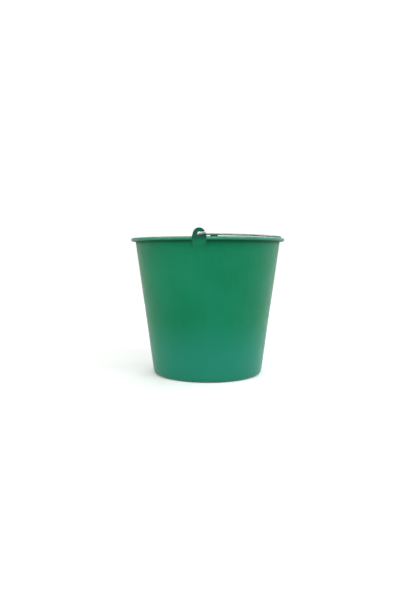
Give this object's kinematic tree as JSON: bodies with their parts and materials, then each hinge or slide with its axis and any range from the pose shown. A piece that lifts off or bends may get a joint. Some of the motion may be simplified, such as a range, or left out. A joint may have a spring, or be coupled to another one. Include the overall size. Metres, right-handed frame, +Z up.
{
  "type": "florist bucket",
  "caption": "Tapered round plastic bucket with a turned-down rim, open hook ears and a loose folding wire bail, standing on a foot ring.",
  "frame": {"origin": "centre of the base, on the surface that the foot ring stands on", "axes": "+Z up along the shell's axis; the two ears stand at -Y and +Y on the bail's hinge line; the ears' slots open towards +X, and the bail lies folded on the +X half of the rim"},
  "size_m": [0.3, 0.3084, 0.2808],
  "materials": {
    "green_plastic": "satin polypropylene, as moulded",
    "galvanised_wire": "dull galvanised"
  },
  "bodies": {
    "bucket": {"bucket_shell": "green_plastic"},
    "bail": {"wire_bail": "galvanised_wire"}
  },
  "joints": [
    {"name": "bail_hinge", "type": "hinge", "parent": "bucket", "child": "bail", "pos_m": [0, 0, 0.2696], "axis": [0, -1, 0], "range_deg": [0, 181.3]}
  ]
}
